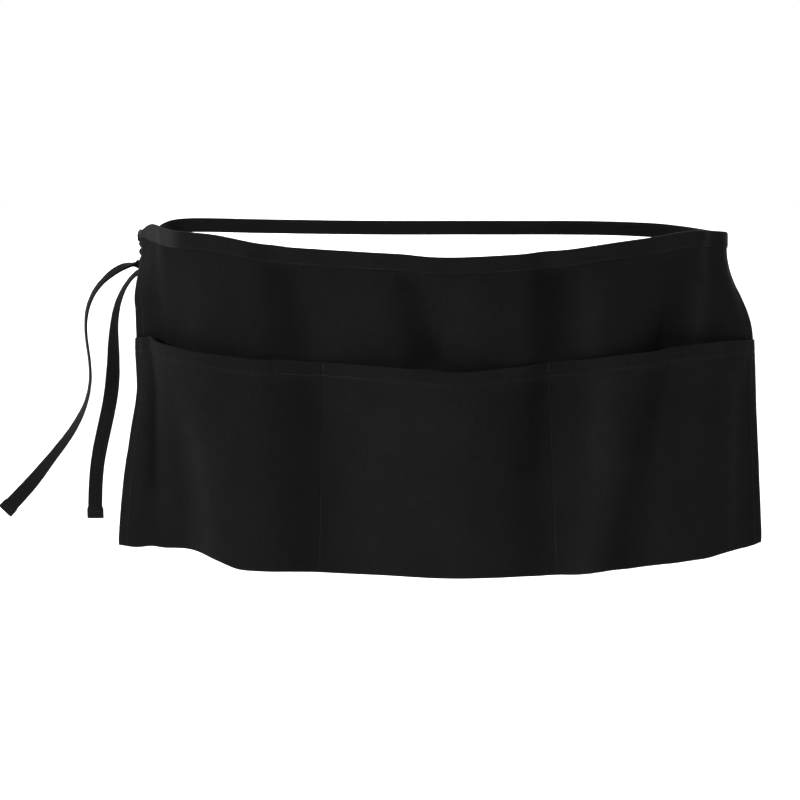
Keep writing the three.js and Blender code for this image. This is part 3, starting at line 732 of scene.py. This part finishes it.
RIGHT_END, LEFT_END = band_end(1.0), band_end(0.0)
KNOT_AXIS = np.array([LEFT_END[0][0] + KNOT_INWARD, LEFT_END[0][1] + KNOT_BACK])
KNOT_HEIGHT = 1.7 * KNOT_STRAND * 2 * KNOT_TURNS


def knot_points(first_angle, count=61):
    t = np.linspace(0, 1, count)
    angle = first_angle - 2 * math.pi * KNOT_TURNS * t
    radius = 0.72 * KNOT_STRAND
    x, y = KNOT_AXIS[0] + radius * np.cos(angle), KNOT_AXIS[1] + radius * np.sin(angle)
    return np.stack([x, y, KNOT_TOP - KNOT_HEIGHT * t], -1)


def tail_points(start, direction, route, length, count=118):
    at = (np.arange(count * 4) + 0.5) / (count * 4)
    lean, fore = (np.radians(read(route, name, at)) for name in ("lean", "fore"))
    hang = unit(np.stack([-np.sin(lean), -np.sin(fore), -np.cos(lean) * np.cos(fore)], -1))
    turned = smooth(at * length, 0, KNOT_BLEND / 2)[:, None]
    ways = unit(mix(direction, hang, turned))
    points = start + np.cumsum(ways, axis=0) * length / (count * 4)
    return np.concatenate([[start], points[3::4]])


def run_along(points, power=1):
    """How far along a path each of its points lies."""
    return np.concatenate([[0], np.cumsum(np.linalg.norm(np.diff(points, axis=0), axis=1) ** power)])


def read_along(at, run, values):
    """Points or directions read at lengths along a path."""
    return np.stack([np.interp(at, run, values[:, k]) for k in range(3)], -1)


def spline(points, count):
    """Evenly spaced places along a smooth curve through a few points."""
    points = np.asarray(points)
    knots = run_along(points, 0.5)
    rows = table("at x y z", *np.column_stack([knots, points]).tolist())
    fine = np.linspace(0, knots[-1], count * 12)
    curve = np.stack([read(rows, name, fine) for name in "xyz"], -1)
    length = run_along(curve)
    return read_along(np.linspace(0, length[-1], count + 1), length, curve)


def directions(points):
    return unit(np.gradient(points, axis=0))


def turned_about(vector, axis, angle):
    cos, sin = math.cos(angle), math.sin(angle)
    return vector * cos + np.cross(axis, vector) * sin + axis * np.dot(axis, vector) * (1 - cos)


def tape(name, lead, end, knot, route, length, seed, lead_open=1.0, lead_painted_shading=(-0.1, 0.38)):
    """A flat tape along lead, knot and tail: bunched and pleated in the knot, folded at its end.

    lead_open is how far it opens before the knot, and lead_painted_shading the light and shade painted into
    its colour there and near it.
    """
    tail = tail_points(knot[-1], directions(knot)[-1], route, length)
    points = np.concatenate([lead, knot[1:], tail[1:]])
    ways = directions(points)
    first, last = len(lead) - 1, len(lead) + len(knot) - 2
    ups = [end[2]]
    for way in ways[1:]:
        ups.append(unit(ups[-1] - way * np.dot(way, ups[-1])))
    turns = np.zeros(len(points))
    side = np.array([1.0, 0, 0])
    for i in range(last, len(points)):
        roll = float(read(route, "roll", np.array((i - last) / (len(points) - 1 - last))))
        wanted = turned_about(unit(side - ways[i] * np.dot(side, ways[i])), ways[i], math.radians(roll))
        turn = math.atan2(np.dot(np.cross(ups[i], wanted), ways[i]), np.dot(ups[i], wanted))
        near = 0 if i == last else turns[i - 1]
        turns[i] = turn - math.pi * round((turn - near) / math.pi)
    span = np.arange(first, last)
    turns[first:last] = turns[last] * smooth(span, first, last)
    run = run_along(points)
    lead_opened = lead_open * smooth(run[first] - run, 0, KNOT_BLEND)
    opened = np.where(run < run[first], lead_opened, smooth(run - run[last], 0, KNOT_BLEND))
    around = np.linspace(0, 2 * math.pi, TIE_POINTS, endpoint=False)
    c, s = np.cos(around), np.sin(around)
    rings, wear = [], []
    for i, (point, way) in enumerate(zip(points, ways)):
        up = end[2] if i == 0 else turned_about(ups[i], way, turns[i])
        fore = end[3] if i == 0 else np.cross(way, up)
        fold = smooth(run[-1] - run[i], TAIL_FOLD + 0.6, TAIL_FOLD - 0.4)
        wide = mix(KNOT_STRAND * 1.18, TAPE_WIDTH * (1 + 0.14 * fold), opened[i]) / 2
        thick = mix(KNOT_STRAND * 1.12, TAPE_THICKNESS * (1 + FOLD_EXTRA * fold), opened[i]) / 2
        across = np.sign(c) * np.abs(c) ** mix(1.0, 0.32, opened[i]) * wide
        through = np.sign(s) * np.abs(s) ** mix(1.0, 0.55, opened[i]) * thick
        bunched = 1 - opened[i]
        pleat = bunched * 0.30 * np.sin(5 * around + 0.15 * run[i]) * (0.6 + 0.4 * math.sin(run[i] / 5.1))
        spread = 1 + pleat / np.maximum(np.hypot(across, through), 0.5)
        groove = -TAPE_GROOVE * opened[i] * bump(across - (wide - TAPE_INSET), 0.7)
        groove = groove * np.sign(through) * (np.abs(through) > 0.3 * thick)
        flutter = opened[i] * (
            0.35 * soft_noise(np.array([run[i] / 19.0]), np.array([0.5]), seed)[0] * across / wide
            + 0.16 * soft_noise(np.full(TIE_POINTS, run[i] / 5.2), across / 4.0 + 9, seed + 1)
        )
        through = through * spread + groove + flutter
        rings.append(point + np.outer(across * spread, up) + np.outer(through, fore))
        rim = 0.6 * bump(np.abs(across) - wide, 0.9) * opened[i] + 0.35 * bunched
        wear.append(rim + (0.45 if fold > 0.5 else 0))
    cap = rings[-1].mean(axis=0)
    caps = [cap + (rings[-1] - cap) * share + ways[-1] * on for share, on in ((0.86, 0.35), (0.4, 0.45))]
    rings = np.stack(rings + caps)
    wear = np.stack(wear + [wear[-1] + 0.3, wear[-1] + 0.3])
    run = np.concatenate([run, [run[-1] + 0.3, run[-1] + 0.5]])
    uv = np.stack(np.broadcast_arrays(run[:, None], 500 + seed * 3 + 6.7 * c[None, :]), -1)
    place = np.arange(len(rings))
    # Light and shade painted into the tape's colour: along the tail from its route, along the lead from its
    # two values, blended through the knot.
    tail_painted = read(route, "fade", np.clip((place - last) / (len(points) - 1 - last), 0, 1))
    lead_painted = mix(*lead_painted_shading, smooth(place / first, 0.15, 0.6))
    painted_shading = mix(lead_painted, tail_painted, smooth(place, first, last))
    piece = loft(name, rings, uv, wear, np.broadcast_to(painted_shading[:, None], wear.shape))
    frames = [turned_about(ups[i], ways[i], turns[i]) for i in range(len(points))]
    return piece, points, ways, np.array(frames), run, (first, last)


half = (RIGHT_END[0][0] - LEFT_END[0][0]) / 2
centre_x = (RIGHT_END[0][0] + LEFT_END[0][0]) / 2
way_round = np.stack(
    [centre_x + half * LOOP["out"], LOOP_BACK * LOOP["back"], RIGHT_END[0][2] + TAPE_WIDTH * LOOP["lift"]], -1
)


def lead_path(end, way, knot, back, count):
    """A tie's path from the panel's end to its place in the knot."""
    into = knot[0] + [0, back * KNOT_STRAND, 0.6 * KNOT_STRAND]
    return spline([end[0], end[0] + end[1] * END_STEP, *way, into, knot[0]], count)


right_knot, left_knot = knot_points(0.0), knot_points(math.pi)
right_lead = lead_path(RIGHT_END, way_round, right_knot, 1, 260)
left_lead = lead_path(LEFT_END, (), left_knot, -1, 30)
tie_right, *right_run = tape("tie_from_right", right_lead, RIGHT_END, right_knot, OUTER_ROUTE, OUTER_TAIL, 91)
tie_left, *left_run = tape(
    "tie_from_left", left_lead, LEFT_END, left_knot, INNER_ROUTE, INNER_TAIL, 95,
    lead_open=0.2, lead_painted_shading=(0.3, 0.5),
)


# ---- stitches ----


def one_stitch():
    """A single stitch: a short rounded bead of thread, lying along X."""
    bpy.ops.object.select_all(action="DESELECT")
    bpy.ops.mesh.primitive_uv_sphere_add(
        segments=6, ring_count=5, radius=0.5, location=(0, 0, 0), rotation=(0, math.pi / 2, 0)
    )
    bead = bpy.context.object
    bpy.ops.object.transform_apply(location=False, rotation=True, scale=False)
    points = np.array([vertex.co[:] for vertex in bead.data.vertices])
    faces = [list(polygon.vertices) for polygon in bead.data.polygons]
    bpy.data.objects.remove(bead)
    return points, faces


STITCH, STITCH_FACES = one_stitch()


def stitches(name, lines, pitch=STITCH_PITCH, long=2.5, thick=0.5):
    """Stitches along sewn lines. Each line is a path on the cloth with its outward directions."""
    points, faces = [], []
    for path, outs in lines:
        run = run_along(path)
        centres = np.arange(pitch / 2, run[-1], pitch)
        out = unit(read_along(centres, run, outs))
        ahead = read_along(centres + 0.5, run, path) - read_along(centres - 0.5, run, path)
        ahead = unit(ahead - out * np.sum(ahead * out, -1, keepdims=True))
        side = np.cross(out, ahead)
        tilt = 0.10 * soft_noise(centres / 3.7, centres * 0 + 2, 7)[:, None]
        ahead = unit(ahead + side * tilt)
        bead = STITCH[:, :1] * min(long, pitch * 0.84), STITCH[:, 1:2] * thick, STITCH[:, 2:] * thick * 0.8
        for place, *axes in zip(read_along(centres, run, path), ahead, side, out):
            base = len(points) * len(STITCH)
            points.append(sum((part * axis for part, axis in zip(bead, axes)), place))
            faces.extend([[k + base for k in face] for face in STITCH_FACES])
    return mesh_piece(name, np.concatenate(points), faces)


def pocket_line(share, down, off=STITCH_RISE):
    """A sewn line on the front of the pocket cloth."""
    share, down = np.broadcast_arrays(share, down)
    _, point, _, out, _, outside = pocket_surface(share, down)
    return point + out * (outside + off)[..., None], out


def body_line(share, down, off=STITCH_RISE, front=True):
    """A sewn line on the front or the back of the main panel."""
    share, down = np.broadcast_arrays(share, down)
    _, middle, out = body_surface(share, down)
    sign = 1 if front else -1
    thick = HALF + off + (0 if front else CLOTH)
    return middle + out * sign * thick, out * sign


full_width = np.linspace(0.006, 0.994, 620)


def band_line(side, off, seed):
    """The binding's sewn line on the front (side 1) or the back (side -1)."""
    level = np.full_like(full_width, BAND_STITCH)
    off = side * (off + CLOTH + band_ripple(full_width, level, seed) + 0.1)
    out = cloth_at(full_width, level / PANEL_HEIGHT)[3]
    return band_point(full_width, level, off), side * out


def downs_between(top, bottom, count):
    return np.linspace(top, bottom, count) / PANEL_HEIGHT


hem_down = (POCKET_TOP + MOUTH_HEM - STITCH_INSET) / PANEL_HEIGHT
pocket_down = downs_between(POCKET_TOP + 1, PANEL_HEIGHT - 2.5, 200)
seam_down = downs_between(POCKET_TOP + 1, PANEL_HEIGHT - 5, 200)
upper_down = downs_between(TAPE_WIDTH + 0.5, POCKET_TOP - 1, 100)
back_down = downs_between(TAPE_WIDTH + 0.5, PANEL_HEIGHT - 4, 260)
side_shares = (SIDE_LINE / WAIST_WIDTH, 1 - SIDE_LINE / WAIST_WIDTH)
stitches("mouth_hem_stitches", [pocket_line(full_width, hem_down)])
stitches("pocket_seam_stitches", [pocket_line(seam, pocket_down) for seam in INNER_SEAMS], SEAM_PITCH)
stitches(
    "side_hem_stitches",
    [pocket_line(share, pocket_down) for share in side_shares]
    + [body_line(share, upper_down) for share in side_shares]
    + [body_line(share, back_down, front=False) for share in side_shares],
)
stitches("back_seam_stitches", [
    body_line(seam, seam_down, off=STITCH_RISE - CLOTH, front=False) for seam in INNER_SEAMS
], SEAM_PITCH)
stitches("waistband_stitches", [
    band_line(1, BAND_OFF, FRONT_SEED), band_line(-1, behind_hem(full_width), BACK_SEED)
])


def tape_line(points, ways, ups, run, span):
    """Two sewn lines along a tape, one on each broad face, where the tape lies open."""
    knot_start, knot_end = (run[k] for k in span)
    before = (1, np.searchsorted(run, knot_start - KNOT_BLEND))
    after = (np.searchsorted(run, knot_end + KNOT_BLEND), len(points) - 1)
    aside = TAPE_WIDTH / 2 - TAPE_INSET
    off = TAPE_THICKNESS / 2 - TAPE_GROOVE + STITCH_RISE
    lines = []
    for low, high in (before, after):
        if high - low < 8:
            continue
        part = slice(low, high)
        fore = np.cross(ways[part], ups[part])
        for sign in (1, -1):
            lines.append((points[part] + ups[part] * aside + fore * sign * off, fore * sign))
    return lines


stitches("tape_stitches", tape_line(*right_run) + tape_line(*left_run), thick=0.42)


def end_line(points, ways, ups, run):
    """The short row across the folded end of a tape, on both faces."""
    i = int(np.searchsorted(run, run[len(points) - 1] - TAIL_FOLD + 1.6))
    fore = np.cross(ways[i], ups[i])
    half = TAPE_WIDTH / 2 - 1
    row = points[i] + ups[i] * np.linspace(-half, half, 12)[:, None]
    thick = TAPE_THICKNESS * (1 + FOLD_EXTRA) / 2
    return [(row + fore * sign * thick, np.tile(fore * sign, (len(row), 1))) for sign in (1, -1)]


def tack(share, below, long):
    """A bar tack: three close rows of tight stitches over the top of a seam, below the mouth's edge."""
    top = (POCKET_TOP + below) / PANEL_HEIGHT
    rows = np.linspace(top, top + long / PANEL_HEIGHT, 12)
    shares = share + np.array([-0.5, 0.0, 0.5]) / WAIST_WIDTH
    return [pocket_line(share, rows, 0.25) for share in shares]


stitches("end_stitches", end_line(*right_run[:4]) + end_line(*left_run[:4]), 2.2, long=1.9)
tacks = [(seam, 0.8, 7.0) for seam in INNER_SEAMS] + [(share, 1.0, 6.0) for share in side_shares]
stitches("bar_tacks", [line for place in tacks for line in tack(*place)], 1.3, long=1.4, thick=0.55)


# ---- finishes ----


class Value:
    """A shader socket that takes part in arithmetic."""

    def __init__(self, finish, socket):
        self.finish, self.socket = finish, socket

    def _with(self, operation, other):
        return self.finish.node("ShaderNodeMath", {"operation": operation}, self, other)

    def __add__(self, other):
        return self._with("ADD", other)

    __radd__ = __add__

    def __sub__(self, other):
        return self._with("SUBTRACT", other)

    def __mul__(self, other):
        return self._with("MULTIPLY", other)


class Finish:
    """One material, with a method that makes any node from its type, settings and inputs."""

    def __init__(self, name):
        self.material = bpy.data.materials.new(name)
        self.material.use_nodes = True
        self.tree = self.material.node_tree
        self.shader = next(node for node in self.tree.nodes if node.type == "BSDF_PRINCIPLED")

    def node(self, kind, settings=None, *values, out=0, **named):
        node = self.tree.nodes.new(kind)
        for key, value in (settings or {}).items():
            setattr(node, key, value)
        inputs = {**dict(enumerate(values)), **{key.replace("_", " "): value for key, value in named.items()}}
        for key, value in inputs.items():
            if isinstance(value, Value):
                self.tree.links.new(value.socket, node.inputs[key])
            else:
                node.inputs[key].default_value = value
        return Value(self, node.outputs[out])

    def blend(self, factor, dark, pale, clamp):
        """A colour from dark to pale as the factor goes from 0 to 1."""
        mixed = self.node("ShaderNodeMix", {"data_type": "RGBA", "clamp_factor": clamp}, Factor=factor, out=2)
        mixed.socket.node.inputs[6].default_value = (*dark, 1)
        mixed.socket.node.inputs[7].default_value = (*pale, 1)
        return mixed

    def feed(self, name, value):
        self.tree.links.new(value.socket, self.shader.inputs[name])

    def fixed(self, **values):
        for name, value in values.items():
            self.shader.inputs[name.replace("_", " ")].default_value = value


def noise_at(finish, place, size, detail=2.0, roughness=0.5):
    """Noise from 0 to 1 at a size in metres, stretched where the three sizes differ."""
    scaled = finish.node("ShaderNodeMapping", None, Vector=place, Scale=[1 / s for s in size])
    return finish.node(
        "ShaderNodeTexNoise", None, Vector=scaled, Scale=1.0, Detail=detail, Roughness=roughness
    )


def above(finish, value, low, high):
    """0 below low and 1 above high."""
    settings = {"clamp": True, "interpolation_type": "SMOOTHSTEP"}
    return finish.node("ShaderNodeMapRange", settings, value, low, high, 0.0, 1.0)


def woven(name, shade, thread, sheen):
    """Black woven cloth: a fine diagonal weave, uneven threads, a little lint, paler worn edges, and light
    and shade painted into its colour along folds and ends.
    """
    finish = Finish(name)
    place = finish.node("ShaderNodeUVMap", {"uv_map": "flat"})
    worn = finish.node("ShaderNodeAttribute", {"attribute_name": "worn"}, out=2)
    painted_shading = finish.node("ShaderNodeAttribute", {"attribute_name": "painted_shading"}, out=2)
    warp = noise_at(finish, place, (thread * 1.2, thread * 34, 1))
    weft = noise_at(finish, place, (thread * 34, thread * 1.2, 1))
    patches = noise_at(finish, place, (0.045, 0.06, 1), 3.0)
    crumple = noise_at(finish, place, (0.006, 0.007, 1), 3.0)
    grain = noise_at(finish, place, (thread * 1.6, thread * 1.6, 1), 3.0, 0.7)
    turned = finish.node("ShaderNodeMapping", None, Vector=place, Rotation=(0, 0, math.radians(58)))
    twill = finish.node(
        "ShaderNodeTexWave", {"wave_type": "BANDS", "bands_direction": "X"}, Vector=turned,
        Scale=0.05 / thread, Distortion=1.2, Detail=2.0, Detail_Scale=3.0,
    )
    lint = above(finish, noise_at(finish, place, (0.0011, 0.0011, 1), 1.0), 0.70, 0.78)
    upright, level = (noise_at(finish, place, size) for size in ((0.0013, 0.022, 1), (0.022, 0.0013, 1)))
    slub = above(finish, warp, 0.60, 0.85) * 0.5 + above(finish, weft, 0.60, 0.85) * 0.5
    uneven = 0.02 + patches * 0.54 + slub * 0.70 + grain * 0.38 + (upright + level) * 0.52
    # The tone is raised and lowered by the light and shade painted along folds and ends; worn edges and lint
    # add to it.
    tone = uneven * (1 + painted_shading) + worn * 0.35 + lint * 0.9
    finish.feed("Base Color", finish.blend(tone * 0.5, (0, 0, 0), [2 * shade] * 3, clamp=False))
    finish.feed("Roughness", 0.80 + grain * 0.14 - worn * 0.05)
    height = twill * 0.45 + warp * 0.6 + weft * 0.6 + grain * 0.5
    fine = finish.node("ShaderNodeBump", None, Strength=0.55, Distance=thread * 0.30, Height=height)
    broad = finish.node("ShaderNodeBump", None, Strength=0.5, Distance=0.0006, Height=crumple, Normal=fine)
    finish.feed("Normal", broad)
    finish.fixed(Specular_IOR_Level=0.08)
    finish.fixed(Sheen_Weight=sheen, Sheen_Roughness=0.42, Sheen_Tint=(0.9, 0.9, 0.9, 1))
    return finish.material


def thread_finish(name, shade):
    """Spun sewing thread, slightly shinier than the cloth."""
    finish = Finish(name)
    place = finish.node("ShaderNodeTexCoord", None, out=3)
    strands = noise_at(finish, place, (0.0009, 0.0009, 0.0009))
    rubbed = above(finish, noise_at(finish, place, (0.05, 0.05, 0.05), 1.0), 0.42, 0.72)
    factor = strands * (0.35 + rubbed * 0.95)
    finish.feed("Base Color", finish.blend(factor, [0.5 * shade] * 3, [2.1 * shade] * 3, clamp=True))
    finish.feed("Roughness", 0.45 + strands * 0.2)
    finish.feed("Normal", finish.node("ShaderNodeBump", None, Strength=0.4, Distance=0.0001, Height=strands))
    finish.fixed(Specular_IOR_Level=0.1, Sheen_Weight=0.04)
    return finish.material


panel_material = woven("black_twill", shade=0.0062, thread=0.00050, sheen=0.03)
pocket_material = woven("black_twill_pockets", shade=0.0065, thread=0.00050, sheen=0.03)
tape_material = woven("black_tape", shade=0.0066, thread=0.00042, sheen=0.04)
thread_material = thread_finish("black_thread", shade=0.015)


def dress(piece, material):
    piece.data.materials.clear()
    piece.data.materials.append(material)
    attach(piece, "root")


dress(body_panel, panel_material)
dress(pocket_panel, pocket_material)
for piece in (waistband, tie_right, tie_left):
    dress(piece, tape_material)
for name, piece in made.items():
    if "stitches" in name or "tacks" in name:
        dress(piece, thread_material)

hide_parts("body_panel")
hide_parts("pocket_panel")
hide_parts("waistband")
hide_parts("tie_right")
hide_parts("tie_left")


# ---- floor, light ----

FLOOR_HEIGHT = -0.95
bpy.ops.object.select_all(action="DESELECT")
bpy.ops.mesh.primitive_plane_add(size=14, location=(0, 3.5, FLOOR_HEIGHT))
floor = bpy.context.object
floor.name = "floor"
floor_finish = Finish("pale_floor")
floor_finish.fixed(Base_Color=(0.9, 0.9, 0.9, 1), Roughness=0.9)
floor.data.materials.append(floor_finish.material)

# A white studio: full white behind the apron, dimmer in front of it, so that its folds are shaped by
# the lamps.
STUDIO_FRONT, STUDIO_BACK = 0.24, 1.0
world = bpy.data.worlds.new("studio")
bpy.context.scene.world = world
world.use_nodes = True
nodes, links = world.node_tree.nodes, world.node_tree.links
way = nodes.new("ShaderNodeTexCoord")
split = nodes.new("ShaderNodeSeparateXYZ")
depth = nodes.new("ShaderNodeMapRange")
for name, value in {"From Min": -0.1, "From Max": 0.4, "To Min": STUDIO_FRONT, "To Max": STUDIO_BACK}.items():
    depth.inputs[name].default_value = value
links.new(way.outputs["Generated"], split.inputs[0])
links.new(split.outputs["Y"], depth.inputs["Value"])
links.new(depth.outputs["Result"], nodes["Background"].inputs["Strength"])
nodes["Background"].inputs["Color"].default_value = (1, 1, 1, 1)


def soft_light(name, place, target, size, power):
    lamp = bpy.data.lights.new(name, "AREA")
    lamp.shape, lamp.size, lamp.energy = "DISK", size, power
    light = placed(name, lamp)
    light.location = place
    away = np.array(target) - np.array(place)
    light.rotation_euler = (
        math.atan2(math.hypot(away[0], away[1]), -away[2]), 0, math.atan2(away[1], away[0]) - math.pi / 2
    )


soft_light("key", (-3.0, -2.9, 1.3), (0, 0, -0.15), 1.0, 115)
soft_light("side", (2.6, -2.2, 0.7), (0, 0, -0.15), 1.2, 20)
soft_light("behind", (0.3, 2.2, 1.2), (0, 0, -0.1), 1.2, 30)
soft_light("over_floor", (0, 3.0, 0.9), (0, 3.2, FLOOR_HEIGHT), 4.0, 90)
soft_light("far_floor", (0, 8.5, 1.5), (0, 8.8, FLOOR_HEIGHT), 5.0, 260)

bpy.context.scene.view_settings.view_transform = "Standard"
